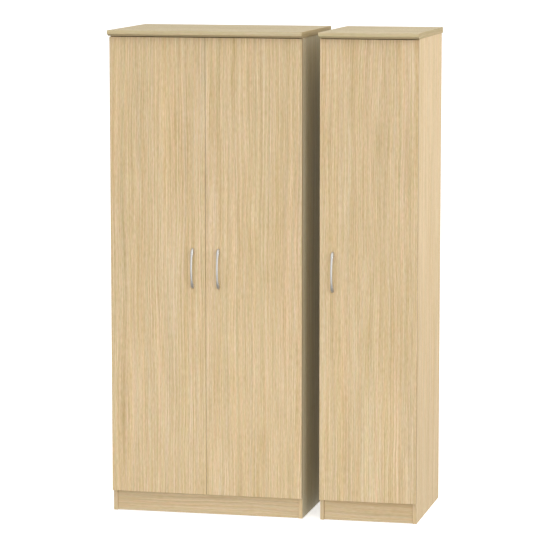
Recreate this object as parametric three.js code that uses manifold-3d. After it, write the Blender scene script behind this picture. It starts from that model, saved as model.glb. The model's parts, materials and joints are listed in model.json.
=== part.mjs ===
// Wardrobe set: a two-door cabinet and a one-door cabinet that stand side by side.
// Millimetres, +Z up, doors facing -Y. The origin is on the floor, under the middle of the
// set's bounding box. Each cabinet is laid out from its own corner: x = 0 is the outer face of
// its left side panel, y = 0 is the front edge of its side panels and z = 0 is the floor.
import * as THREE from "three";
import { mergeVertices } from "three/addons/utils/BufferGeometryUtils.js";
import Module from "manifold-3d";

const wasm = await Module();
wasm.setup();

// Overall sizes
const HEIGHT = 1830;
const DOUBLE_WIDTH = 737;
const SINGLE_WIDTH = 368;
const CABINET_GAP = 68;
const CARCASS_DEPTH = 492;
const BOARD = 15;
const FIT = 0.3; // clearance wherever two pieces touch

// Top board: square back edge, front edge bevelled underneath
const TOP_THICKNESS = 22;
const TOP_OVER_DOORS = 23;
const TOP_OVER_SIDES = 3;
const TOP_OVER_BACK = 8;
const TOP_EDGE_FACE = 14;
const TOP_BEVEL_RUN = 20;

// Doors, which cover the front edges of the side panels
const DOOR_STANDOFF = 2;
const DOOR_BOTTOM = 79;
const DOOR_TOP_GAP = 3;
const DOOR_MEETING_GAP = 1.2;

// Inside the carcass
const BASE_TOP = 95;
const PLINTH_RECESS = 4;
const PLINTH_FLOOR_GAP = 1;
const BACK_THICKNESS = 3;
const BACK_INSET = 8;
const GROOVE_DEPTH = 6;
const SHELF_TOP = 1520;
const SHELF_SETBACK = 20;
const RAIL_HEIGHT = 30;
const RAIL_THICKNESS = 15;
const RAIL_WALL = 1.2;
const RAIL_CENTRE_Z = 1450;
const RAIL_CENTRE_Y = 250;
const SOCKET_PLATE = 3;
const SOCKET_DEPTH = 12;
const SOCKET_WALL = 2;
const SOCKET_PLATE_HEIGHT = 44;
const SOCKET_PLATE_WIDTH = 24;

// Concealed hinges, three to a door
const HINGE_END_DISTANCE = 95;
const CUP_CENTRE_FROM_EDGE = 21.5;
const CUP_RADIUS = 17.2;
const CUP_DEPTH = 12;
const CUP_WALL = 1.4;
const CUP_FLANGE_RADIUS = 19;
const CUP_FLANGE_THICKNESS = 1;
const CUP_WING_LENGTH = 50;
const CUP_WING_WIDTH = 13;
const ARM_NOSE_FROM_EDGE = 17.5;
const ARM_NOSE_REACH = 10;
const ARM_NOSE_THICKNESS = 4;
const ARM_BODY_THICKNESS = 6;
const ARM_BEND_FRONT = 7;
const ARM_BEND_BACK = 16;
const ARM_LENGTH = 64;
const ARM_HEIGHT = 14;
const PLATE_THICKNESS = 3;
const PLATE_FRONT = 22;
const PLATE_BACK = 58;
const PLATE_HEIGHT = 20;
const PLATE_WING_FRONT = 30;
const PLATE_WING_BACK = 46;
const PLATE_WING_HEIGHT = 52;

// Bow handles and their screws
const HANDLE_FROM_EDGE = 49;
const HANDLE_HALF_LENGTH = 77;
const HANDLE_INNER_HALF_LENGTH = 58;
const HANDLE_HOLE_SPACING = 128;
const HANDLE_PROJECTION = 28;
const HANDLE_BAR_THICKNESS = 6;
const HANDLE_STEPS = 24;
const HANDLE_BAR_WIDTH = 7.5;
const HANDLE_FOOT_WIDTH = 11;
const HANDLE_FOOT_LENGTH = 22;
const HANDLE_FOOT_THICKNESS = 4;
const SCREW_RADIUS = 1.9;
const SCREW_HEAD_RADIUS = 4;
const SCREW_HEAD_THICKNESS = 2.3;
const SCREW_REACH = 8;
const SCREW_CLEARANCE = 0.5;

const ROUND = 24; // segments in a full turn
const CUTTER_OVERRUN = 5; // how far a cutting solid runs past the face it opens

// Levels worked out from the sizes above
const topUnderside = HEIGHT - TOP_THICKNESS;
const doorFront = -(DOOR_STANDOFF + BOARD);
const doorTop = topUnderside - DOOR_TOP_GAP;
const handleZ = (DOOR_BOTTOM + doorTop) / 2;
const backFront = CARCASS_DEPTH - BACK_INSET - BACK_THICKNESS;
const hingeLevels = {
  top: doorTop - HINGE_END_DISTANCE,
  middle: (DOOR_BOTTOM + doorTop) / 2,
  bottom: DOOR_BOTTOM + HINGE_END_DISTANCE,
};

// Materials
function material(color, roughness, metalness) {
  return new THREE.MeshStandardMaterial({ color, roughness, metalness });
}
const oak = () => material(0xd7bf97, 0.55, 0);
const backing = () => material(0xe2d6bd, 0.7, 0);
const nickel = () => material(0xc9c9c5, 0.3, 1);
const chrome = () => material(0xd5d7d9, 0.15, 1);
const zincSteel = () => material(0xb9bcbe, 0.35, 1);

// Geometry helpers
function block(x, y, z) {
  const geometry = new THREE.BoxGeometry(x[1] - x[0], y[1] - y[0], z[1] - z[0]);
  return geometry.translate((x[0] + x[1]) / 2, (y[0] + y[1]) / 2, (z[0] + z[1]) / 2);
}

function extrude(shape, depth, curveSegments = 8) {
  return new THREE.ExtrudeGeometry(shape, { depth, curveSegments, bevelEnabled: false });
}

function outline(points) {
  return new THREE.Shape(points.map(([a, b]) => new THREE.Vector2(a, b)));
}

// A plan outline in x and y, standing from z[0] to z[1].
function standing(points, z) {
  return extrude(outline(points), z[1] - z[0]).translate(0, 0, z[0]);
}

// A side-view shape drawn in y and z, running from x[0] to x[1].
function alongX(shape, x, curveSegments) {
  const swapAxes = new THREE.Matrix4().set(0, 0, 1, x[0], 1, 0, 0, 0, 0, 1, 0, 0, 0, 0, 0, 1);
  return extrude(shape, x[1] - x[0], curveSegments).applyMatrix4(swapAxes);
}

// A turned profile of radius and y, about an axis along y.
function turned(profile, segments = ROUND) {
  return new THREE.LatheGeometry(profile.map(([r, y]) => new THREE.Vector2(r, y)), segments);
}

function solid(geometry) {
  const bare = geometry.clone();
  bare.deleteAttribute("normal");
  bare.deleteAttribute("uv");
  const merged = mergeVertices(bare, 1e-4);
  const vertProperties = new Float32Array(merged.attributes.position.array);
  const triVerts = new Uint32Array(merged.index.array);
  return new wasm.Manifold(new wasm.Mesh({ numProp: 3, vertProperties, triVerts }));
}

function geometryOf(manifold) {
  const mesh = manifold.getMesh();
  const geometry = new THREE.BufferGeometry();
  geometry.setAttribute("position", new THREE.BufferAttribute(mesh.vertProperties, 3));
  geometry.setIndex(new THREE.BufferAttribute(mesh.triVerts, 1));
  return geometry;
}

function join(...geometries) {
  return geometryOf(geometries.map(solid).reduce((whole, part) => whole.add(part)));
}

function cut(geometry, ...cutters) {
  return geometryOf(cutters.reduce((whole, cutter) => whole.subtract(solid(cutter)), solid(geometry)));
}

function piece(group, name, geometry, finish) {
  const mesh = new THREE.Mesh(geometry, finish);
  mesh.name = name;
  group.add(mesh);
}

// A stadium: the outline of the hanging rail, upright, centred on the rail's axis.
function stadium(height, thickness) {
  const radius = thickness / 2;
  const straight = height / 2 - radius;
  const shape = new THREE.Shape();
  shape.absarc(RAIL_CENTRE_Y, RAIL_CENTRE_Z + straight, radius, 0, Math.PI, false);
  shape.absarc(RAIL_CENTRE_Y, RAIL_CENTRE_Z - straight, radius, Math.PI, 2 * Math.PI, false);
  return shape;
}

function sidePanel(inwardFrom, inward) {
  const inner = inwardFrom + inward * BOARD;
  const groove = inner - inward * GROOVE_DEPTH;
  return standing([
    [inwardFrom, 0], [inner, 0], [inner, backFront - FIT], [groove, backFront - FIT],
    [groove, backFront + BACK_THICKNESS + FIT], [inner, backFront + BACK_THICKNESS + FIT],
    [inner, CARCASS_DEPTH], [inwardFrom, CARCASS_DEPTH],
  ], [0, topUnderside - FIT]);
}

function topBoard(width) {
  const front = doorFront - TOP_OVER_DOORS;
  const back = CARCASS_DEPTH + TOP_OVER_BACK;
  return alongX(outline([
    [front, HEIGHT], [front, HEIGHT - TOP_EDGE_FACE], [front + TOP_BEVEL_RUN, topUnderside],
    [back, topUnderside], [back, HEIGHT],
  ]), [-TOP_OVER_SIDES, width + TOP_OVER_SIDES]);
}

function hangingRail(width) {
  const shape = stadium(RAIL_HEIGHT, RAIL_THICKNESS);
  shape.holes.push(stadium(RAIL_HEIGHT - 2 * RAIL_WALL, RAIL_THICKNESS - 2 * RAIL_WALL));
  const end = BOARD + FIT + SOCKET_PLATE + FIT;
  return alongX(shape, [end, width - end], 6);
}

// The cup that holds a rail end: a plate on the side panel with a rim round the rail.
function railSocket(face, inward) {
  const span = (near, far) => [face + inward * near, face + inward * far].sort((a, b) => a - b);
  const clear = 2 * FIT;
  const rimInner = [RAIL_HEIGHT + clear, RAIL_THICKNESS + clear];
  const rim = stadium(rimInner[0] + 2 * SOCKET_WALL, rimInner[1] + 2 * SOCKET_WALL);
  rim.holes.push(stadium(...rimInner));
  const plate = stadium(SOCKET_PLATE_HEIGHT, SOCKET_PLATE_WIDTH);
  return join(
    alongX(plate, span(FIT, FIT + SOCKET_PLATE), 6),
    alongX(rim, span(FIT + SOCKET_PLATE / 2, FIT + SOCKET_PLATE + SOCKET_DEPTH), 6),
  );
}

function carcass(group, prefix, width) {
  const inside = [BOARD + FIT, width - BOARD - FIT];
  const backSpan = [BOARD - GROOVE_DEPTH + FIT, width - BOARD + GROOVE_DEPTH - FIT];
  const backLevels = [BASE_TOP - BOARD, topUnderside - FIT];
  const frontToBack = (front) => [front, backFront - FIT];
  piece(group, `${prefix}_left_side`, sidePanel(0, 1), oak());
  piece(group, `${prefix}_right_side`, sidePanel(width, -1), oak());
  piece(group, `${prefix}_top`, topBoard(width), oak());
  piece(group, `${prefix}_base`, block(inside, frontToBack(0), [BASE_TOP - BOARD, BASE_TOP]), oak());
  const plinthDepth = [PLINTH_RECESS, PLINTH_RECESS + BOARD];
  const plinthLevels = [PLINTH_FLOOR_GAP, BASE_TOP - BOARD - FIT];
  piece(group, `${prefix}_plinth`, block(inside, plinthDepth, plinthLevels), oak());
  const backDepth = [backFront, backFront + BACK_THICKNESS];
  piece(group, `${prefix}_back_panel`, block(backSpan, backDepth, backLevels), backing());
  const shelfLevels = [SHELF_TOP - BOARD, SHELF_TOP];
  piece(group, `${prefix}_shelf`, block(inside, frontToBack(SHELF_SETBACK), shelfLevels), oak());
  piece(group, `${prefix}_hanging_rail`, hangingRail(width), chrome());
  piece(group, `${prefix}_rail_socket_left`, railSocket(BOARD, 1), chrome());
  piece(group, `${prefix}_rail_socket_right`, railSocket(width - BOARD, -1), chrome());
}

// Hinge pieces are laid out in distances from the door's hinged edge, so at(d) gives the x.
function hingeCup(at, z) {
  const rim = CUP_FLANGE_THICKNESS + FIT;
  const bore = CUP_RADIUS - CUP_WALL;
  const shell = turned([
    [0, -CUP_DEPTH], [CUP_RADIUS, -CUP_DEPTH], [CUP_RADIUS, FIT], [CUP_FLANGE_RADIUS, FIT],
    [CUP_FLANGE_RADIUS, rim], [bore, rim], [bore, CUP_WALL - CUP_DEPTH], [0, CUP_WALL - CUP_DEPTH],
  ]);
  const halfWidth = CUP_WING_WIDTH / 2;
  const halfLength = CUP_WING_LENGTH / 2;
  const wings = cut(
    block([-halfWidth, halfWidth], [FIT, rim], [-halfLength, halfLength]),
    new THREE.CylinderGeometry(bore, bore, 2 * CUTTER_OVERRUN, ROUND),
  );
  return join(shell, wings).translate(at(CUP_CENTRE_FROM_EDGE), -DOOR_STANDOFF, z);
}

function hingeArm(at, z) {
  const nose = ARM_NOSE_FROM_EDGE;
  const noseInner = nose + ARM_NOSE_THICKNESS;
  const foot = BOARD + 2 * FIT + PLATE_THICKNESS;
  const footInner = foot + ARM_BODY_THICKNESS;
  const plan = [
    [nose, -ARM_NOSE_REACH], [noseInner, -ARM_NOSE_REACH], [noseInner, ARM_BEND_FRONT],
    [footInner, ARM_BEND_BACK], [footInner, ARM_LENGTH], [foot, ARM_LENGTH],
    [foot, ARM_BEND_BACK], [nose, ARM_BEND_FRONT],
  ].map(([x, y]) => [at(x), y]);
  return standing(plan, [z - ARM_HEIGHT / 2, z + ARM_HEIGHT / 2]);
}

function mountingPlate(at, z) {
  const thickness = [at(BOARD + FIT), at(BOARD + FIT + PLATE_THICKNESS)].sort((a, b) => a - b);
  const about = (height) => [z - height / 2, z + height / 2];
  return join(
    block(thickness, [PLATE_FRONT, PLATE_BACK], about(PLATE_HEIGHT)),
    block(thickness, [PLATE_WING_FRONT, PLATE_WING_BACK], about(PLATE_WING_HEIGHT)),
  );
}

// Cutting solids in the door: a pocket for a hinge cup, and a through hole for a handle screw.
function cupPocket(at, z) {
  const radius = CUP_RADIUS + FIT;
  const depth = CUP_DEPTH + FIT + CUTTER_OVERRUN;
  return new THREE.CylinderGeometry(radius, radius, depth, ROUND)
    .translate(at(CUP_CENTRE_FROM_EDGE), -DOOR_STANDOFF + CUTTER_OVERRUN - depth / 2, z);
}

function screwHole(x, z) {
  const radius = SCREW_RADIUS + SCREW_CLEARANCE;
  return new THREE.CylinderGeometry(radius, radius, 2 * BOARD, ROUND / 2)
    .translate(x, doorFront + BOARD / 2, z);
}

// One side of the bow, seen from the side: half an ellipse standing out from the door face.
function bowCurve(halfLength, projection, z) {
  return Array.from({ length: HANDLE_STEPS + 1 }, (_, step) => {
    const angle = (Math.PI * step) / HANDLE_STEPS;
    const out = Math.max(FIT, projection * Math.sin(angle));
    return [doorFront - out, z + halfLength * Math.cos(angle)];
  });
}

// The bow, a round foot at each end, and a blind hole up each foot for its screw.
function bowHandle(x, z) {
  const outer = bowCurve(HANDLE_HALF_LENGTH, HANDLE_PROJECTION, z);
  const inner = bowCurve(HANDLE_INNER_HALF_LENGTH, HANDLE_PROJECTION - HANDLE_BAR_THICKNESS, z);
  const halfBar = HANDLE_BAR_WIDTH / 2;
  const bow = alongX(outline([...outer, ...inner.reverse()]), [x - halfBar, x + halfBar]);
  const footLevels = [z + HANDLE_HOLE_SPACING / 2, z - HANDLE_HOLE_SPACING / 2];
  const feet = footLevels.map((level) => new THREE.CylinderGeometry(1, 1, 1, ROUND)
    .scale(HANDLE_FOOT_WIDTH / 2, HANDLE_FOOT_THICKNESS, HANDLE_FOOT_LENGTH / 2)
    .translate(x, doorFront - FIT - HANDLE_FOOT_THICKNESS / 2, level));
  const radius = SCREW_RADIUS + SCREW_CLEARANCE;
  const depth = SCREW_REACH + 1 + CUTTER_OVERRUN;
  const bores = footLevels.map((level) => new THREE.CylinderGeometry(radius, radius, depth, ROUND / 2)
    .translate(x, doorFront + CUTTER_OVERRUN - depth / 2, level));
  return cut(join(bow, ...feet), ...bores);
}

function handleScrew(x, z) {
  const head = FIT + SCREW_HEAD_THICKNESS;
  const chamfer = SCREW_HEAD_THICKNESS / 2;
  const tip = -(BOARD + SCREW_REACH);
  return turned([
    [0, tip], [SCREW_RADIUS, tip], [SCREW_RADIUS, FIT], [SCREW_HEAD_RADIUS, FIT],
    [SCREW_HEAD_RADIUS, head - chamfer], [SCREW_HEAD_RADIUS - chamfer, head], [0, head],
  ], ROUND / 2).translate(x, -DOOR_STANDOFF, z);
}

// A door from x[0] to x[1], hinged on the side named, with everything that hangs on it.
function door(group, prefix, x, hingeSide, cabinetWidth) {
  const onLeft = hingeSide === "left";
  const fromHinge = (d) => (onLeft ? d : cabinetWidth - d);
  const handleX = onLeft ? x[1] - HANDLE_FROM_EDGE : x[0] + HANDLE_FROM_EDGE;
  const screws = { upper: handleZ + HANDLE_HOLE_SPACING / 2, lower: handleZ - HANDLE_HOLE_SPACING / 2 };
  const slab = block(x, [doorFront, -DOOR_STANDOFF], [DOOR_BOTTOM, doorTop]);
  const pockets = Object.values(hingeLevels).map((z) => cupPocket(fromHinge, z));
  const holes = Object.values(screws).map((z) => screwHole(handleX, z));
  piece(group, `${prefix}_door`, cut(slab, ...pockets, ...holes), oak());
  piece(group, `${prefix}_handle`, bowHandle(handleX, handleZ), nickel());
  for (const [place, z] of Object.entries(screws)) {
    piece(group, `${prefix}_handle_screw_${place}`, handleScrew(handleX, z), zincSteel());
  }
  for (const [place, z] of Object.entries(hingeLevels)) {
    piece(group, `${prefix}_hinge_${place}_cup`, hingeCup(fromHinge, z), zincSteel());
    piece(group, `${prefix}_hinge_${place}_arm`, hingeArm(fromHinge, z), zincSteel());
    piece(group, `${prefix}_hinge_${place}_plate`, mountingPlate(fromHinge, z), zincSteel());
  }
}

// The two cabinets, each in a group of its own
const doubleCabinet = new THREE.Group();
carcass(doubleCabinet, "double", DOUBLE_WIDTH);
const meeting = DOUBLE_WIDTH / 2;
const halfMeetingGap = DOOR_MEETING_GAP / 2;
door(doubleCabinet, "double_left", [0, meeting - halfMeetingGap], "left", DOUBLE_WIDTH);
door(doubleCabinet, "double_right", [meeting + halfMeetingGap, DOUBLE_WIDTH], "right", DOUBLE_WIDTH);

const singleCabinet = new THREE.Group();
carcass(singleCabinet, "single", SINGLE_WIDTH);
door(singleCabinet, "single", [0, SINGLE_WIDTH], "right", SINGLE_WIDTH);

// Centre the pair over the origin
const overallWidth = DOUBLE_WIDTH + CABINET_GAP + SINGLE_WIDTH;
const frontMost = doorFront - HANDLE_PROJECTION;
const backMost = CARCASS_DEPTH + TOP_OVER_BACK;
doubleCabinet.position.set(-overallWidth / 2, -(frontMost + backMost) / 2, 0);
singleCabinet.position.copy(doubleCabinet.position);
singleCabinet.position.x += DOUBLE_WIDTH + CABINET_GAP;

const group = new THREE.Group();
group.add(doubleCabinet, singleCabinet);

export default group;
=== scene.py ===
"""Looks for the pair of wardrobe cabinets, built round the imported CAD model, which stays as it is."""
import json
import math

import bmesh
import bpy
from mathutils import Matrix, Vector

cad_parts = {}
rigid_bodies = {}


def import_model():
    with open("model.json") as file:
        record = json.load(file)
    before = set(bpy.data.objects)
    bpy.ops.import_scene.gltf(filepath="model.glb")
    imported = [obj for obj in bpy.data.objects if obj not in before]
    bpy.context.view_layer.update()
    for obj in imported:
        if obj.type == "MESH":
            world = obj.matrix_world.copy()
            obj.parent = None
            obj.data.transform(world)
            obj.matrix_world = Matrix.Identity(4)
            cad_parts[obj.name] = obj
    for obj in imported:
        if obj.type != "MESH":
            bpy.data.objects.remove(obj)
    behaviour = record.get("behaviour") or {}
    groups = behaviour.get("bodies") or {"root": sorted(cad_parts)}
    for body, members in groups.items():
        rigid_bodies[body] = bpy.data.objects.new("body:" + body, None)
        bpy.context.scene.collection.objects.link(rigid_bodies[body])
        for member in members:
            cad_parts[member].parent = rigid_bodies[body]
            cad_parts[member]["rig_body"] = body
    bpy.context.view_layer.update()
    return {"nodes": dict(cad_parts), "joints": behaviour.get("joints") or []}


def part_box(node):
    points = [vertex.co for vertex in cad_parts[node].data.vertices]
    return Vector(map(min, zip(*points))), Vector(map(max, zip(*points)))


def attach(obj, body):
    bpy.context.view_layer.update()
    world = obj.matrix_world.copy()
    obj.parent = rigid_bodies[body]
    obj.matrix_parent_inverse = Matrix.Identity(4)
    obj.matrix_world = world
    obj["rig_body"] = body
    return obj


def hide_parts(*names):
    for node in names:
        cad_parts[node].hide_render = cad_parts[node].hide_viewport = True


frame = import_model()

CABINETS = ("double", "single")
DOORS = ("double_left", "double_right", "single")
HINGE_PLACES = ("top", "middle", "bottom")
X, Y, Z = range(3)

# Camera
CAMERA_PLACE = (2.3963, -10.6132, 2.3364)
CAMERA_YAW = math.radians(12.759)
CAMERA_PITCH = math.radians(7.56)
CAMERA_LENS = 188.33
SENSOR_WIDTH = 36.0

# Light and floor
DOME_BELOW = 0.25
DOME_HORIZON = 1.06
DOME_OVERHEAD = 0.56
DOME_RISE_STARTS = 0.28  # shares of the way from straight down to straight up
DOME_RISE_ENDS = 0.49
FLOOR_GLOW = 0.6
FLOOR_HALF = 150.0
FLOOR_DROP = 0.0005
SOFTBOXES = (  # name, place, target, size in metres, power in watts
    ("far_softbox", (8.0, -8.4, 2.8), (0.3, 0.0, 0.9), 4.0, 165.0),
    ("right_softbox", (4.6, 0.3, 2.4), (0.5, 0.0, 1.1), 2.0, 78.0),
    ("high_softbox", (0.0, -2.4, 5.0), (0.0, -0.2, 1.4), 3.2, 50.0),
    ("low_softbox", (0.0, -2.2, 0.05), (0.0, -0.25, 0.6), 1.5, 10.5),
)


# ---------------------------------------------------------------- shader helpers


def new_material(name):
    """Makes a material, and returns it with its node tree and its Principled shader."""
    made = bpy.data.materials.new(name)
    made.use_nodes = True
    return made, made.node_tree, made.node_tree.nodes["Principled BSDF"]


def node(tree, kind, **values):
    """Adds a node; values name its properties, or its input sockets where it has no such property."""
    made = tree.nodes.new(kind)
    for key, value in values.items():
        if hasattr(made, key):
            setattr(made, key, value)
        else:
            made.inputs[key.replace("_", " ").title()].default_value = value
    return made


def wire(tree, socket, target):
    """Links a socket to a target socket, or sets the target to a plain number."""
    if isinstance(socket, (int, float)):
        target.default_value = socket
    else:
        tree.links.new(socket, target)


def maths(tree, operation, first, second=0.0, third=None, clamp=False):
    made = node(tree, "ShaderNodeMath", operation=operation, use_clamp=clamp)
    wire(tree, first, made.inputs[0])
    wire(tree, second, made.inputs[1])
    if third is not None:
        wire(tree, third, made.inputs[2])
    return made.outputs[0]


def noise(tree, vector, scale=1.0, detail=2.0, roughness=0.5):
    made = node(tree, "ShaderNodeTexNoise", scale=scale, detail=detail, roughness=roughness)
    wire(tree, vector, made.inputs["Vector"])
    return made.outputs["Fac"]


def blend_of(tree, first, second, share):
    """A weighted sum of two layers: this share of the first, and the rest from the second."""
    rest = maths(tree, "MULTIPLY", second, 1.0 - share)
    return maths(tree, "MULTIPLY_ADD", first, share, rest)


def ramp(tree, factor, stops):
    """A colour ramp through stops, each of a place from 0 to 1 and a colour."""
    made = node(tree, "ShaderNodeValToRGB")
    elements = made.color_ramp.elements
    while len(elements) < len(stops):
        elements.new(0.5)
    for element, (place, colour) in zip(elements, stops):
        element.position = place
        element.color = (*colour, 1.0)
    wire(tree, factor, made.inputs["Fac"])
    return made.outputs["Color"]


def mix_colour(tree, factor, first, second, blend_type="MIX"):
    """Mixes two colours, each of them a socket or a plain (red, green, blue)."""
    made = node(tree, "ShaderNodeMix", data_type="RGBA", blend_type=blend_type)
    wire(tree, factor, made.inputs["Factor"])
    colour_inputs = [socket for socket in made.inputs if socket.type == "RGBA"]
    for value, target in zip((first, second), colour_inputs):
        if isinstance(value, tuple):
            target.default_value = (*value, 1.0)
        else:
            tree.links.new(value, target)
    return [socket for socket in made.outputs if socket.type == "RGBA"][0]


def bump(tree, shader, height, strength, distance):
    made = node(tree, "ShaderNodeBump", strength=strength, distance=distance)
    wire(tree, height, made.inputs["Height"])
    tree.links.new(made.outputs["Normal"], shader.inputs["Normal"])


# ---------------------------------------------------------------- oak print

GRAIN = "grain"  # UV map in metres: u across the grain, v along it

# Cycles per metre across and along the grain, then how far the streaks wander, in metres
GRAIN_WANDER = (
    (9.0, 1.7, 0.03),
    (40.0, 9.0, 0.003),
)
# Cycles per metre across and along the grain, then how strongly each layer shows
OAK_STREAKS = (
    (12, 2.0, 0.10),
    (25, 2.0, 0.19),
    (50, 2.0, 0.16),
    (100, 0.7, 0.18),
    (400, 0.4, 0.58),
    (400, 2.0, 0.58),
    (400, 8.0, 0.44),
    (400, 45.0, 0.43),
)
# The two tints that a hue layer swings between
COOL_TO_WARM = ((0.95, 0.99, 1.0), (1.0, 0.985, 0.91))
GREEN_TO_ROSE = ((0.975, 1.0, 0.975), (1.0, 0.965, 1.0))
OAK_HUES = (
    (100, 0.8, 1.9, COOL_TO_WARM),
    (30, 1.5, 1.2, COOL_TO_WARM),
    (100, 22.0, 1.3, COOL_TO_WARM),
    (80, 0.8, 1.9, GREEN_TO_ROSE),
    (100, 25.0, 2.3, GREEN_TO_ROSE),
)
OAK_COLOURS = (
    (0.15, (0.527, 0.371, 0.188)),
    (0.50, (0.744, 0.548, 0.354)),
    (0.85, (0.965, 0.745, 0.554)),
)
PORES_ACROSS = 1300
PORES_ALONG = 45.0
PORE_LIMIT = 0.36  # the noise makes a pore where it falls below this
PORE_SHARPNESS = 4.0
PORE_DARKNESS = 0.14
PORE_EXTRA_ROUGHNESS = 0.12
OAK_SPECULAR = 0.05  # low, so that the white dome doesn't wash the colour out


def stretched(tree, u, v, across, along):
    """A noise vector with so many cycles per metre across and along the grain."""
    made = node(tree, "ShaderNodeCombineXYZ")
    wire(tree, maths(tree, "MULTIPLY", u, across), made.inputs["X"])
    wire(tree, maths(tree, "MULTIPLY", v, along), made.inputs["Y"])
    return made.outputs[0]


def grain_coordinates(tree):
    """The grain map's u and v, with u pushed sideways a little so that the streaks wander."""
    uv = node(tree, "ShaderNodeUVMap", uv_map=GRAIN)
    split = node(tree, "ShaderNodeSeparateXYZ")
    tree.links.new(uv.outputs["UV"], split.inputs[0])
    u, v = split.outputs["X"], split.outputs["Y"]
    pushes = []
    for across, along, width in GRAIN_WANDER:
        layer = noise(tree, stretched(tree, u, v, across, along))
        pushes.append(maths(tree, "MULTIPLY_ADD", layer, width, -width / 2))
    return maths(tree, "ADD", u, maths(tree, "ADD", *pushes)), v


def streaks(tree, u, v, across, along):
    return noise(tree, stretched(tree, u, v, across, along), detail=1.0)


def tinted(tree, colour, layer, gain, tints):
    """Multiplies a colour by a tint that goes from the first to the second as a noise layer rises."""
    factor = maths(tree, "MULTIPLY_ADD", maths(tree, "SUBTRACT", layer, 0.5), gain, 0.5, clamp=True)
    return mix_colour(tree, 1.0, colour, mix_colour(tree, factor, *tints), "MULTIPLY")


def oak(name, tint=(1.0, 1.0, 1.0), contrast=1.0, roughness=0.5):
    """Light-oak print on melamine: broad soft bands, long streaks, fine lines and short pores."""
    made, tree, shader = new_material(name)
    u, v = grain_coordinates(tree)
    level = 0.5
    for across, along, strength in OAK_STREAKS:
        centred = maths(tree, "SUBTRACT", streaks(tree, u, v, across, along), 0.5)
        level = maths(tree, "MULTIPLY_ADD", centred, strength * contrast, level)
    below = maths(tree, "SUBTRACT", PORE_LIMIT, streaks(tree, u, v, PORES_ACROSS, PORES_ALONG), clamp=True)
    pore = maths(tree, "MULTIPLY", below, PORE_SHARPNESS, clamp=True)
    level = maths(tree, "MULTIPLY_ADD", pore, -PORE_DARKNESS * contrast, level)
    stops = [(place, tuple(t * c for t, c in zip(tint, colour))) for place, colour in OAK_COLOURS]
    wood = ramp(tree, level, stops)
    for across, along, gain, tints in OAK_HUES:
        wood = tinted(tree, wood, streaks(tree, u, v, across, along), gain, tints)
    tree.links.new(wood, shader.inputs["Base Color"])
    gloss = maths(tree, "MULTIPLY_ADD", pore, PORE_EXTRA_ROUGHNESS, roughness)
    tree.links.new(gloss, shader.inputs["Roughness"])
    bump(tree, shader, maths(tree, "SUBTRACT", level, pore), strength=0.12, distance=0.0002)
    shader.inputs["Specular IOR Level"].default_value = OAK_SPECULAR
    return made


# ---------------------------------------------------------------- raw board and metal


def object_place(tree):
    return node(tree, "ShaderNodeTexCoord").outputs["Object"]


METAL_SHADE = 0.86  # how dark the darkest smudges are, beside the plating's own colour


def chipboard():
    """Raw edge of the board: pressed wood chips, seen only at the back and under the sides."""
    made, tree, shader = new_material("raw_chipboard")
    place = object_place(tree)
    chips = node(tree, "ShaderNodeTexVoronoi", scale=520.0, randomness=1.0)
    tree.links.new(place, chips.inputs["Vector"])
    fleck = node(tree, "ShaderNodeSeparateColor")
    tree.links.new(chips.outputs["Color"], fleck.inputs[0])
    dust = noise(tree, place, scale=180.0, detail=4.0)
    level = blend_of(tree, fleck.outputs["Red"], dust, share=0.6)
    wood = ramp(tree, level, (
        (0.15, (0.26, 0.17, 0.09)),
        (0.55, (0.50, 0.36, 0.21)),
        (0.90, (0.68, 0.53, 0.34)),
    ))
    tree.links.new(wood, shader.inputs["Base Color"])
    shader.inputs["Roughness"].default_value = 0.9
    bump(tree, shader, level, strength=0.5, distance=0.0006)
    return made


def hardboard():
    """Brown unpainted back of the thin back panels."""
    made, tree, shader = new_material("hardboard_back")
    place = object_place(tree)
    cloud = noise(tree, place, scale=7.0, detail=3.0)
    fibre = noise(tree, place, scale=420.0, detail=5.0, roughness=0.7)
    brown = ramp(tree, blend_of(tree, fibre, cloud, share=0.85), (
        (0.30, (0.20, 0.115, 0.055)),
        (0.55, (0.31, 0.19, 0.10)),
        (0.75, (0.40, 0.26, 0.15)),
    ))
    tree.links.new(brown, shader.inputs["Base Color"])
    shader.inputs["Roughness"].default_value = 0.8
    bump(tree, shader, fibre, strength=0.3, distance=0.0003)
    return made


def metal(name, colour, roughness, spread, stretch):
    """Plated metal with smudges and polishing lines, long on the axis whose stretch is small."""
    made, tree, shader = new_material(name)
    place = object_place(tree)
    turned = node(tree, "ShaderNodeMapping")
    tree.links.new(place, turned.inputs["Vector"])
    turned.inputs["Scale"].default_value = stretch
    lines = noise(tree, turned.outputs["Vector"], detail=3.0)
    smudge = noise(tree, place, scale=35.0)
    level = blend_of(tree, smudge, lines, share=0.4)
    duller = tuple(METAL_SHADE * channel for channel in colour)
    tree.links.new(ramp(tree, level, ((0.3, duller), (0.7, colour))), shader.inputs["Base Color"])
    rough = maths(tree, "MULTIPLY_ADD", level, spread, roughness - spread / 2)
    tree.links.new(rough, shader.inputs["Roughness"])
    shader.inputs["Metallic"].default_value = 1.0
    bump(tree, shader, lines, strength=0.08, distance=0.0001)
    return made


OAK_FACE = oak("oak_face")
OAK_EDGE = oak("oak_edge", tint=(0.97, 0.97, 0.97), contrast=0.8, roughness=0.4)
# Darker tape: its darkness is painted shade, which draws the thin shadow line of the gaps round each door
OAK_DOOR_EDGE_SHADED = oak("oak_door_edge_painted_shade", tint=(0.72, 0.70, 0.68), contrast=0.8, roughness=0.4)
# Darker all over: painted shade for the plinth's recess under the doors; the lower contrast is the print's
# own
OAK_PLINTH_SHADED = oak("oak_plinth_painted_shade", tint=(0.94, 0.94, 0.94), contrast=0.7)
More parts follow.
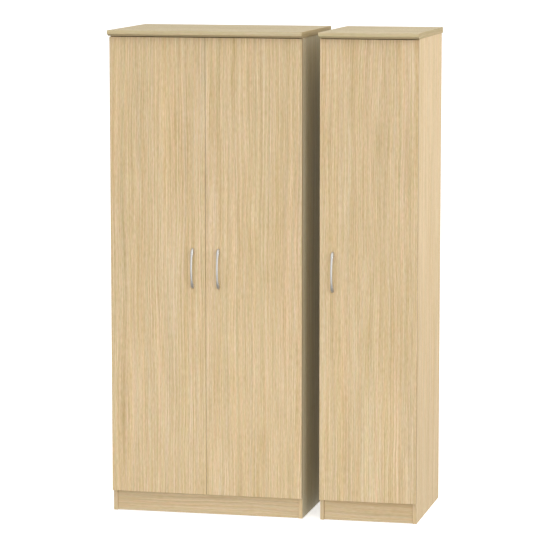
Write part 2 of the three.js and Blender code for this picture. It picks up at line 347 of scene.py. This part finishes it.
# Paler and bluer, so that the shade between the cabinets is grey-brown and not deep brown
OAK_GAP_SIDE = oak("oak_gap_side", tint=(1.03, 1.20, 1.42))
OAK_TOP = oak("oak_top", tint=(0.895, 0.965, 0.99), contrast=1.4)
OAK_TOP_FRONT = oak("oak_top_front", tint=(0.875, 0.953, 0.965), contrast=0.6)
# Darker tape on the top's ends: its darkness is painted shade, like that on the end facing the gap
OAK_TOP_ENDS_SHADED = oak("oak_top_ends_painted_shade", tint=(0.68, 0.70, 0.64), contrast=0.8)
OAK_BACKING = oak("oak_backing_print", tint=(1.04, 1.04, 1.04), contrast=0.7, roughness=0.6)
CHIPBOARD = chipboard()
HARDBOARD = hardboard()
NICKEL = metal("satin_nickel", (0.68, 0.68, 0.67), 0.44, 0.12, (900.0, 900.0, 25.0))
CHROME = metal("rail_chrome_plate", (0.64, 0.65, 0.66), 0.20, 0.08, (20.0, 700.0, 700.0))
PLATED_STEEL = metal("hinge_plated_steel", (0.66, 0.66, 0.65), 0.3, 0.14, (500.0, 60.0, 500.0))
SCREW_STEEL = metal("screw_zinc", (0.62, 0.63, 0.65), 0.35, 0.15, (600.0, 600.0, 600.0))


# ---------------------------------------------------------------- mesh helpers

WELD_DISTANCE = 1e-6
FLAT_WITHIN = math.radians(1)
HARD_EDGE = math.radians(40)
ON_AXIS = 1e-7  # a smaller radius than this is a tip


def body_of(cad_node):
    return frame["nodes"][cad_node]["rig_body"]


def add_piece(cad_node, ending, mesh, materials):
    """Puts a mesh in the scene as one piece that rides on a CAD node's body and stands for the node."""
    piece = bpy.data.objects.new(f"{cad_node}_{ending}", mesh)
    bpy.context.scene.collection.objects.link(piece)
    for material in materials:
        mesh.materials.append(material)
    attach(piece, body_of(cad_node))
    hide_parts(cad_node)


def mesh_of(shape, name):
    mesh = bpy.data.meshes.new(name)
    shape.to_mesh(mesh)
    shape.free()
    return mesh


def hard_edges(shape):
    return [edge for edge in shape.edges if edge.is_manifold and edge.calc_face_angle() > HARD_EDGE]


def softened_copy(cad_node, radius, segments=3):
    """A copy of a CAD node's mesh whose hard edges are rounded to a small radius, with smooth shading."""
    shape = bmesh.new()
    shape.from_mesh(frame["nodes"][cad_node].data)
    bmesh.ops.remove_doubles(shape, verts=shape.verts, dist=WELD_DISTANCE)
    bmesh.ops.dissolve_limit(
        shape, angle_limit=FLAT_WITHIN, verts=shape.verts, edges=shape.edges, delimit=set())
    rounded = bmesh.ops.bevel(
        shape, geom=hard_edges(shape), offset=radius, segments=segments, profile=0.5,
        affect="EDGES", clamp_overlap=True)
    for face in rounded["faces"]:
        face.smooth = True
    return shape


def fix_face_order(shape):
    """Sorts the faces by their corners. New faces on a bevelled shape land in another order each run."""
    shape.verts.index_update()
    ranked = sorted(shape.faces, key=lambda face: sorted(vert.index for vert in face.verts))
    rank_of = {face: rank for rank, face in enumerate(ranked)}
    shape.faces.sort(key=rank_of.get)


def facing_of(face):
    """The axis that a face's normal is nearest to, and which way it points along it."""
    axis = max(range(3), key=lambda i: abs(face.normal[i]))
    return axis, 1 if face.normal[axis] > 0 else -1


# ---------------------------------------------------------------- boards

EDGE_RADIUS = 0.0007
FRONT = (Y, -1)
BACK = (Y, 1)
UNDER = (Z, -1)
UPPER = (Z, 1)
GRAIN_STEP = 0.37  # metres of print between the faces that look along X, along Y and along Z
GRAIN_ALONG_STEP = 3  # a board's cut moves this many times as far along the grain as across it


def grain_unwrap(shape, grain_axis, offset):
    """Writes the grain map: v follows the grain axis, or the face's long side where it can't."""
    layer = shape.loops.layers.uv.new(GRAIN)
    low = [min(vert.co[i] for vert in shape.verts) for i in range(3)]
    high = [max(vert.co[i] for vert in shape.verts) for i in range(3)]
    size = [b - a for a, b in zip(low, high)]
    for face in shape.faces:
        facing, _ = facing_of(face)
        flat_axes = [i for i in range(3) if i != facing]
        along = grain_axis if grain_axis in flat_axes else max(flat_axes, key=lambda i: size[i])
        across = [i for i in flat_axes if i != along][0]
        shift = GRAIN_STEP * facing
        for loop in face.loops:
            co = loop.vert.co
            u = co[across] - low[across] + offset + shift
            v = co[along] - low[along] + GRAIN_ALONG_STEP * offset
            loop[layer].uv = (u, v)


def paint(shape, finish_of):
    """Gives each face the material that finish_of picks for it; returns the materials in slot order."""
    materials = []
    for face in shape.faces:
        finish = finish_of(face)
        if finish not in materials:
            materials.append(finish)
        face.material_index = materials.index(finish)
    return materials


def board(name, grain_axis, thin_axis, offset, raw=(), face_print=OAK_FACE, tape=OAK_EDGE, gap_side=None):
    """A melamine-faced board: printed faces, edging tape round it, raw chipboard on hidden edges."""
    def finish_of(face):
        facing = facing_of(face)
        if facing in raw:
            return CHIPBOARD
        if facing[0] != thin_axis or face.smooth:
            return tape
        return OAK_GAP_SIDE if facing == gap_side else face_print

    shape = softened_copy(name, EDGE_RADIUS)
    grain_unwrap(shape, grain_axis, offset)
    materials = paint(shape, finish_of)
    add_piece(name, "board", mesh_of(shape, name), materials)


def top_board(name, offset):
    """The top: a bold print on its face, a calmer one on the front and bevel, and on both ends tape darkened
    with painted shade.
    """
    def finish_of(face):
        facing = facing_of(face)
        if facing[0] == X:
            return OAK_TOP_ENDS_SHADED
        if facing == BACK:
            return CHIPBOARD
        return OAK_TOP if facing == UPPER else OAK_TOP_FRONT

    shape = softened_copy(name, EDGE_RADIUS)
    grain_unwrap(shape, X, offset)
    materials = paint(shape, finish_of)
    add_piece(name, "board", mesh_of(shape, name), materials)


def back_panel(name, offset):
    """Thin hardboard, printed to match the boards on its inner face and bare behind."""
    shape = softened_copy(name, EDGE_RADIUS / 3, segments=1)
    grain_unwrap(shape, Z, offset)
    materials = paint(shape, lambda face: OAK_BACKING if facing_of(face) == FRONT else HARDBOARD)
    add_piece(name, "sheet", mesh_of(shape, name), materials)


# ---------------------------------------------------------------- turned, swept and cut metal parts

# Shares of the radius of a screw head's flat top
CROSS_REACH = 0.62
CROSS_WIDTH = 0.24
CROSS_DEPTH = 0.45
CROSS_TAPER = 0.8
# A driven screw's head: how far it is sunk, and its dome as shares of its radius and height
HEAD_SUNK = 0.0004
HEAD_DOME = ((1.0, 0.4), (0.93, 0.82), (0.8, 1.0))


def ring_faces(shape, rings):
    """Joins rings of vertices, one after another, with quads. A ring of one vertex is a tip."""
    for near, far in zip(rings, rings[1:]):
        count = max(len(near), len(far))
        for i in range(count):
            j = (i + 1) % count
            corners = [near[i % len(near)], near[j % len(near)], far[j % len(far)], far[i % len(far)]]
            unique = list(dict.fromkeys(corners))
            if len(unique) > 2:
                shape.faces.new(unique).smooth = True


def ring_at(shape, place, points, height):
    return [shape.verts.new(place @ Vector((x, y, height))) for x, y in points]


def lathe(shape, profile, place, segments=48):
    """Turns a profile of (radius, height) about a placing matrix's local Z; returns the last ring."""
    rings = []
    for radius, height in profile:
        steps = segments if radius > ON_AXIS else 1
        turn = [2 * math.pi * k / steps for k in range(steps)]
        circle = [(radius * math.cos(t), radius * math.sin(t)) for t in turn]
        rings.append(ring_at(shape, place, circle, height))
    ring_faces(shape, rings)
    return rings[-1]


def stadium(height, thickness, steps=14):
    """Points round an upright rounded slot, centred on the origin."""
    radius, straight = thickness / 2, (height - thickness) / 2
    points = []
    for end, start in ((1, 0.0), (-1, math.pi)):
        for k in range(steps + 1):
            angle = start + math.pi * k / steps
            points.append((radius * math.cos(angle), end * straight + radius * math.sin(angle)))
    return points


def prism(shape, outline, place, depth, hole=None):
    """Pushes an outline along the local Z axis of a placing matrix; a hole makes it a tube."""
    outer = [ring_at(shape, place, outline, height) for height in (0.0, depth)]
    if hole is None:
        ring_faces(shape, outer)
        shape.faces.new(list(reversed(outer[0])))
        shape.faces.new(outer[1])
    else:
        inner = [ring_at(shape, place, hole, height) for height in (0.0, depth)]
        ring_faces(shape, [outer[0], outer[1], inner[1], inner[0], outer[0]])


def cross_outline(reach, width):
    """The twelve corners of a cross-shaped recess."""
    half = width / 2
    arm = [(half, half), (half, reach), (-half, reach)]
    points = []
    for turn in range(4):
        c, s = round(math.cos(turn * math.pi / 2)), round(math.sin(turn * math.pi / 2))
        points += [(c * x - s * y, s * x + c * y) for x, y in arm]
    return points


def recessed_head(shape, profile, place, segments=32, material_index=0):
    """Turns a profile that starts on the axis and ends at a flat top's rim, with a cross cut in the top."""
    before = set(shape.faces)
    rim = lathe(shape, profile, place, segments)
    radius, height = profile[-1]
    cross = cross_outline(CROSS_REACH * radius, CROSS_WIDTH * radius)
    mouth = ring_at(shape, place, cross, height)
    tapered = [(CROSS_TAPER * x, CROSS_TAPER * y) for x, y in cross]
    bottom = ring_at(shape, place, tapered, height - CROSS_DEPTH * radius)
    ring_faces(shape, [mouth, bottom])
    shape.faces.new(bottom)
    edges = []
    for loop in (rim, mouth):
        pairs = zip(loop, loop[1:] + loop[:1])
        edges += [shape.edges.get(pair) or shape.edges.new(pair) for pair in pairs]
    bmesh.ops.triangle_fill(shape, use_beauty=True, use_dissolve=False, edges=edges)
    for face in set(shape.faces) - before:
        face.material_index = material_index
        face.smooth = len(face.verts) == 4


def low_head(shape, place, radius, height):
    """The head of a screw that is driven home, standing on the local Z = 0 plane, in the second material."""
    root = -HEAD_SUNK - CROSS_DEPTH * radius
    hidden = [(0.0, root), (radius / 2, root), (radius, -HEAD_SUNK)]
    dome = [(radius * out, height * up) for out, up in HEAD_DOME]
    recessed_head(shape, hidden + dome, place, material_index=1)


def toward(axis, sign, place):
    """A placing matrix whose local Z points one way along an axis of the frame."""
    direction = Vector([sign if i == axis else 0.0 for i in range(3)])
    return Matrix.Translation(place) @ direction.to_track_quat("Z", "Y").to_matrix().to_4x4()


def upright_along_x(place, sign=1):
    """A placing matrix whose local Z points along +X or -X, with its local Y upright."""
    return Matrix.Translation(place) @ Matrix(((0, 0, sign, 0), (1, 0, 0, 0), (0, 1, 0, 0), (0, 0, 0, 1)))


def finished(shape, name):
    bmesh.ops.recalc_face_normals(shape, faces=shape.faces)
    return mesh_of(shape, name)


# ---------------------------------------------------------------- handles

HANDLE_WALL = 0.006
HANDLE_BAR_HALF_WIDTH = 0.00375
HANDLE_FOOT_HALF_WIDTH = 0.0055
HANDLE_FOOT_HALF_LENGTH = 0.0095
HANDLE_FLARE_START = 0.040
HANDLE_FLARE_END = 0.060
HANDLE_STATIONS = 72
HANDLE_AROUND = 28
HANDLE_SQUARENESS = 0.8  # below 1, the oval section's sides are pushed out towards a box

SCREW_HEAD_HEIGHT = 0.0023
SCREW_SHAFT_RADIUS = 0.0019
SCREW_PITCH = 0.0007
SCREW_TIP = 0.8  # shares of the shaft's radius
SCREW_ROOT = 0.84
PAN_TOP = 0.62  # share of the head's radius
PAN_RIM = 0.3  # share of the head's height
PAN_STEPS = 6


def smooth_step(value, start, end):
    """0 up to start, 1 from end on, and a smooth rise between them."""
    share = min(max((value - start) / (end - start), 0.0), 1.0)
    return share * share * (3 - 2 * share)


def squared(value):
    """A sine or cosine pushed outwards, so that the section is squarer than an ellipse."""
    return math.copysign(abs(value) ** HANDLE_SQUARENESS, value)


def bow(half_length, projection, angle):
    """A point on half an ellipse that stands out from the door."""
    return Vector((0.0, -projection * math.sin(angle), half_length * math.cos(angle)))


def handle(door):
    """A bow handle, lofted from an oval foot through a slim bar to the other foot."""
    name = door + "_handle"
    low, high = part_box(name)
    centre, face = (low + high) / 2, high.y
    half, projection = (high.z - low.z) / 2, face - low.y
    inner_half = half - 2 * HANDLE_FOOT_HALF_LENGTH
    origin = Vector((centre.x, face, centre.z))
    shape = bmesh.new()
    rings = []
    for station in range(HANDLE_STATIONS + 1):
        angle = math.pi * station / HANDLE_STATIONS
        outer = bow(half, projection, angle)
        inner = bow(inner_half, projection - HANDLE_WALL, angle)
        middle, thick = (outer + inner) / 2, (outer - inner) / 2
        flare = smooth_step(abs(middle.z), HANDLE_FLARE_START, HANDLE_FLARE_END)
        width = HANDLE_BAR_HALF_WIDTH + (HANDLE_FOOT_HALF_WIDTH - HANDLE_BAR_HALF_WIDTH) * flare
        ring = []
        for k in range(HANDLE_AROUND):
            turn = 2 * math.pi * k / HANDLE_AROUND
            sideways = Vector((width * squared(math.cos(turn)), 0, 0))
            offset = middle + thick * squared(math.sin(turn)) + sideways
            ring.append(shape.verts.new(origin + offset))
        rings.append(ring)
    ring_faces(shape, rings)
    for ring in (rings[0], rings[-1]):
        shape.faces.new(ring)
    add_piece(name, "bow", finished(shape, name), (NICKEL,))


def handle_screw(name):
    """A pan-head machine screw through the door, its head against the door's inner face."""
    low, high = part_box(name)
    centre, length = (low + high) / 2, high.y - low.y
    head, seat = (high.x - low.x) / 2, length - SCREW_HEAD_HEIGHT
    shaft = SCREW_SHAFT_RADIUS
    profile = [(0.0, 0.0), (SCREW_TIP * shaft, 0.0)]
    for turn in range(int((seat - SCREW_PITCH) / SCREW_PITCH)):
        crest = (turn + 0.5) * SCREW_PITCH
        profile += [(shaft, crest), (SCREW_ROOT * shaft, crest + 0.5 * SCREW_PITCH)]
    profile += [(shaft, seat - 0.2 * SCREW_PITCH), (shaft, seat), (head, seat)]
    for step in range(PAN_STEPS):
        angle = math.pi / 2 * step / PAN_STEPS
        out = PAN_TOP + (1 - PAN_TOP) * math.cos(angle)
        up = PAN_RIM + (1 - PAN_RIM) * math.sin(angle)
        profile.append((head * out, seat + SCREW_HEAD_HEIGHT * up))
    profile.append((head * PAN_TOP, length))
    shape = bmesh.new()
    recessed_head(shape, profile, toward(Y, 1, (centre.x, low.y, centre.z)), segments=28)
    add_piece(name, "steel", finished(shape, name), (SCREW_STEEL,))


# ---------------------------------------------------------------- hinges

CUP_WALL = 0.0013
CUP_FLANGE_THICKNESS = 0.0010
CUP_FLANGE_WIDTH = 0.0018
CUP_FLANGE_CHAMFER = 0.0003
# Rounded corners of the cup, as steps in from a wall and steps away from its floor or rim
CUP_OUTER_CORNER = ((0.0012, 0.0), (0.0003, 0.0004), (0.0, 0.0013))
CUP_LIP = ((0.0006, 0.0), (0.0001, 0.0004), (0.0, 0.0011))
CUP_INNER_CORNER = ((0.0, 0.0030), (0.0006, 0.0018), (0.0020, CUP_WALL))
CUP_SCREW_RADIUS = 0.0034
CUP_SCREW_HEIGHT = 0.0008
WING_HALF_WIDTH = 0.0065
WING_OVERLAP = 0.0003
WING_STEPS = 12
WING_INSET = 0.00002  # keeps the wings' faces off the flange's, so that the two don't flicker
WING_SCREW_SUNK = 0.00005
PIN_RADIUS = 0.0013
PIN_LENGTH = 0.021
PIN_FROM_CENTRE = 0.009
PIN_FROM_FLOOR = 0.0042

STRIP_EDGE_RADIUS = 0.0006
STRIP_SCREW_HEIGHT = 0.0011
PLATE_SCREW_RADIUS = 0.0042
PLATE_SCREW_FROM_END = 0.008
PLATE_WING_FORWARD = 0.002
ARM_SCREW_RADIUS = 0.0036
ARM_SCREWS_FROM_END = (0.012, 0.034)


def cup_profile(flange_radius, depth):
    """The cup's section as (radius, height), from the middle of its floor round to the inside."""
    outside = flange_radius - CUP_FLANGE_WIDTH
    bore, seat = outside - CUP_WALL, depth - CUP_FLANGE_THICKNESS
    return [
        (0.0, 0.0),
        *[(outside - inward, up) for inward, up in CUP_OUTER_CORNER],
        (outside, seat),
        (flange_radius, seat),
        (flange_radius, depth - CUP_FLANGE_CHAMFER),
        (flange_radius - CUP_FLANGE_CHAMFER, depth),
        *[(bore + outward, depth - down) for outward, down in CUP_LIP],
        *[(bore - inward, up) for inward, up in CUP_INNER_CORNER],
        (0.0, CUP_WALL),
    ]


def hinge_cup(name, inward):
    """The cup let into the door: a turned shell with a rounded rim, two screwed wings and a pin."""
    low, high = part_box(name)
    centre = (low + high) / 2
    flange_radius, wing_end = (high.x - low.x) / 2, (high.z - low.z) / 2
    shape = bmesh.new()
    profile = cup_profile(flange_radius, high.y - low.y)
    lathe(shape, profile, toward(Y, 1, (centre.x, low.y, centre.z)), segments=64)

    reach = wing_end - math.sqrt(flange_radius ** 2 - WING_HALF_WIDTH ** 2) + WING_OVERLAP
    outline = [(WING_HALF_WIDTH, 0.0), (-WING_HALF_WIDTH, 0.0)]
    for k in range(WING_STEPS + 1):
        angle = math.pi - math.pi * k / WING_STEPS
        outward = reach - WING_HALF_WIDTH + WING_HALF_WIDTH * math.sin(angle)
        outline.append((WING_HALF_WIDTH * math.cos(angle), outward))
    under = Matrix.Translation((centre.x, high.y - CUP_FLANGE_THICKNESS + WING_INSET, centre.z))
    for side in (1, -1):
        root = side * (wing_end - reach)
        turn = Matrix(((1, 0, 0, 0), (0, 0, 1, 0), (0, side, 0, root), (0, 0, 0, 1)))
        prism(shape, outline, under @ turn, CUP_FLANGE_THICKNESS - 2 * WING_INSET)
        head = (centre.x, high.y - WING_SCREW_SUNK, centre.z + side * (wing_end - WING_HALF_WIDTH))
        low_head(shape, toward(Y, 1, head), CUP_SCREW_RADIUS, CUP_SCREW_HEIGHT)

    pin_foot = (centre.x + inward * PIN_FROM_CENTRE, low.y + PIN_FROM_FLOOR, centre.z - PIN_LENGTH / 2)
    pin = [(0.0, 0.0), (PIN_RADIUS, 0.0), (PIN_RADIUS, PIN_LENGTH), (0.0, PIN_LENGTH)]
    lathe(shape, pin, toward(Z, 1, pin_foot), segments=20)
    add_piece(name, "shell", finished(shape, name), (PLATED_STEEL, SCREW_STEEL))


def hinge_strip(name, inward, screws, radius):
    """A hinge arm or mounting plate: the CAD shape with rounded edges and cross-head screws."""
    shape = softened_copy(name, STRIP_EDGE_RADIUS)
    low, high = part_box(name)
    face_x = high.x if inward > 0 else low.x
    for y, z in screws:
        low_head(shape, toward(X, inward, (face_x, y, z)), radius, STRIP_SCREW_HEIGHT)
    fix_face_order(shape)
    add_piece(name, "steel", finished(shape, name), (PLATED_STEEL, SCREW_STEEL))


def hinge(name, inward):
    """A cup, and an arm and a plate whose screws stand in a cross on the side panel."""
    plate_low, plate_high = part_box(name + "_plate")
    level = (plate_low.z + plate_high.z) / 2
    wing_y = (plate_low.y + plate_high.y) / 2 - PLATE_WING_FORWARD
    spread = (plate_high.z - plate_low.z) / 2 - PLATE_SCREW_FROM_END
    plate_screws = [(wing_y, level + spread), (wing_y, level - spread)]
    arm_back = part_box(name + "_arm")[1].y
    arm_screws = [(arm_back - distance, level) for distance in ARM_SCREWS_FROM_END]
    hinge_cup(name + "_cup", inward)
    hinge_strip(name + "_plate", inward, plate_screws, PLATE_SCREW_RADIUS)
    hinge_strip(name + "_arm", inward, arm_screws, ARM_SCREW_RADIUS)


# ---------------------------------------------------------------- hanging rails

RAIL_WALL = 0.0012
SOCKET_PLATE = 0.003
SOCKET_WALL = 0.0018
SOCKET_BORE = (0.0306, 0.0156)  # height and thickness
SOCKET_EDGE_RADIUS = 0.0004


def hanging_rail(name):
    low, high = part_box(name)
    centre = (low + high) / 2
    height, thickness = high.z - low.z, high.y - low.y
    place = upright_along_x((low.x, centre.y, centre.z))
    bore = stadium(height - 2 * RAIL_WALL, thickness - 2 * RAIL_WALL)
    shape = bmesh.new()
    prism(shape, stadium(height, thickness), place, high.x - low.x, bore)
    add_piece(name, "tube", finished(shape, name), (CHROME,))


def rail_socket(name, sign):
    """The holder for one end of the rail: a plate on the side panel and a rim round the rail."""
    low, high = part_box(name)
    centre = (low + high) / 2
    face = low.x if sign > 0 else high.x
    at_face = upright_along_x((face, centre.y, centre.z), sign)
    at_rim = upright_along_x((face + sign * SOCKET_PLATE, centre.y, centre.z), sign)
    rim = stadium(*[size + 2 * SOCKET_WALL for size in SOCKET_BORE])
    shape = bmesh.new()
    prism(shape, stadium(high.z - low.z, high.y - low.y), at_face, SOCKET_PLATE)
    prism(shape, rim, at_rim, high.x - low.x - SOCKET_PLATE, stadium(*SOCKET_BORE))
    bmesh.ops.bevel(
        shape, geom=hard_edges(shape), offset=SOCKET_EDGE_RADIUS, segments=2, profile=0.5, affect="EDGES")
    add_piece(name, "metal", finished(shape, name), (CHROME,))


# ---------------------------------------------------------------- the object

# Which way along X each door's cabinet lies from its hinges: +1 where it is hung on the left
INWARD = {joint["child"]: -joint["axis"][Z] for joint in frame["joints"]}

# The panels and faces on either side of the gap between the cabinets
GAP_SIDES = {"double_right_side": (X, 1), "single_left_side": (X, -1)}

# Where each board is cut from the print, in metres, and how far on the next cabinet's and door's are
PRINT_CUTS = {
    "left_side": 0.11,
    "right_side": 0.83,
    "top": 0.29,
    "base": 0.53,
    "plinth": 0.97,
    "shelf": 1.21,
    "back_panel": 1.43,
}
CABINET_PRINT_STEP = 1.7
FIRST_DOOR_PRINT = 4.3
DOOR_PRINT_STEP = 0.613


def carcass(cabinet, offset):
    cuts = {part: offset + cut for part, cut in PRINT_CUTS.items()}
    for side in ("left_side", "right_side"):
        name = f"{cabinet}_{side}"
        board(name, Z, X, cuts[side], raw=(BACK, UNDER), gap_side=GAP_SIDES.get(name))
    top_board(f"{cabinet}_top", cuts["top"])
    board(f"{cabinet}_base", X, Z, cuts["base"], raw=(BACK,))
    board(f"{cabinet}_plinth", X, Y, cuts["plinth"], face_print=OAK_PLINTH_SHADED)
    board(f"{cabinet}_shelf", X, Z, cuts["shelf"], raw=(BACK,))
    back_panel(f"{cabinet}_back_panel", cuts["back_panel"])
    hanging_rail(f"{cabinet}_hanging_rail")
    rail_socket(f"{cabinet}_rail_socket_left", 1)
    rail_socket(f"{cabinet}_rail_socket_right", -1)


def hung_door(door, offset):
    # The doors' edge tape is darkened with painted shade for the gap lines round them
    board(f"{door}_door", Z, Y, offset, tape=OAK_DOOR_EDGE_SHADED)
    handle(door)
    for place in ("upper", "lower"):
        handle_screw(f"{door}_handle_screw_{place}")
    for place in HINGE_PLACES:
        hinge(f"{door}_hinge_{place}", INWARD[door + "_door"])


for index, cabinet in enumerate(CABINETS):
    carcass(cabinet, CABINET_PRINT_STEP * index)
for index, door in enumerate(DOORS):
    hung_door(door, FIRST_DOOR_PRINT + DOOR_PRINT_STEP * index)


# ---------------------------------------------------------------- camera, light and floor


def world_light():
    """A soft white dome: one brightness below the horizon, another at it and a third overhead."""
    world = bpy.data.worlds.new("studio")
    world.use_nodes = True
    tree = world.node_tree
    direction = node(tree, "ShaderNodeTexCoord").outputs["Generated"]
    split = node(tree, "ShaderNodeSeparateXYZ")
    tree.links.new(direction, split.inputs[0])
    rise = maths(tree, "MULTIPLY_ADD", split.outputs["Z"], 0.5, 0.5)
    dome = ramp(tree, rise, (
        (DOME_RISE_STARTS, (DOME_BELOW,) * 3),
        (DOME_RISE_ENDS, (DOME_HORIZON,) * 3),
        (1.0, (DOME_OVERHEAD,) * 3),
    ))
    tree.links.new(dome, tree.nodes["Background"].inputs["Color"])
    bpy.context.scene.world = world


def softbox(name, place, target, size, power):
    """A square area lamp that faces a target point."""
    lamp = bpy.data.lights.new(name, "AREA")
    lamp.size = size
    lamp.energy = power
    holder = bpy.data.objects.new(name, lamp)
    bpy.context.scene.collection.objects.link(holder)
    holder.location = place
    holder.rotation_euler = (Vector(target) - Vector(place)).to_track_quat("-Z", "Y").to_euler()
    holder.visible_camera = False


def floor():
    """A wide white floor. The dome and the low softbox stand in for its bounce, so it isn't lit twice."""
    mesh = bpy.data.meshes.new("floor")
    corners = [(x * FLOOR_HALF, y * FLOOR_HALF, -FLOOR_DROP) for x, y in ((-1, -1), (1, -1), (1, 1), (-1, 1))]
    mesh.from_pydata(corners, [], [(0, 1, 2, 3)])
    made, _, shader = new_material("floor_white")
    shader.inputs["Base Color"].default_value = (0.9, 0.9, 0.9, 1.0)
    shader.inputs["Roughness"].default_value = 1.0
    shader.inputs["Specular IOR Level"].default_value = 0.0
    shader.inputs["Emission Color"].default_value = (1.0, 1.0, 1.0, 1.0)
    shader.inputs["Emission Strength"].default_value = FLOOR_GLOW
    mesh.materials.append(made)
    ground = bpy.data.objects.new("floor", mesh)
    bpy.context.scene.collection.objects.link(ground)
    ground.visible_diffuse = False
    ground.visible_glossy = False
    ground.visible_shadow = False


def camera():
    made = bpy.data.objects.new("camera", bpy.data.cameras.new("camera"))
    bpy.context.scene.collection.objects.link(made)
    made.location = CAMERA_PLACE
    made.rotation_euler = (math.pi / 2 - CAMERA_PITCH, 0.0, CAMERA_YAW)
    made.data.lens = CAMERA_LENS
    made.data.sensor_width = SENSOR_WIDTH
    made.data.clip_end = 4 * FLOOR_HALF
    bpy.context.scene.camera = made


camera()
world_light()
floor()
for lamp in SOFTBOXES:
    softbox(*lamp)
bpy.context.scene.view_settings.view_transform = "Standard"
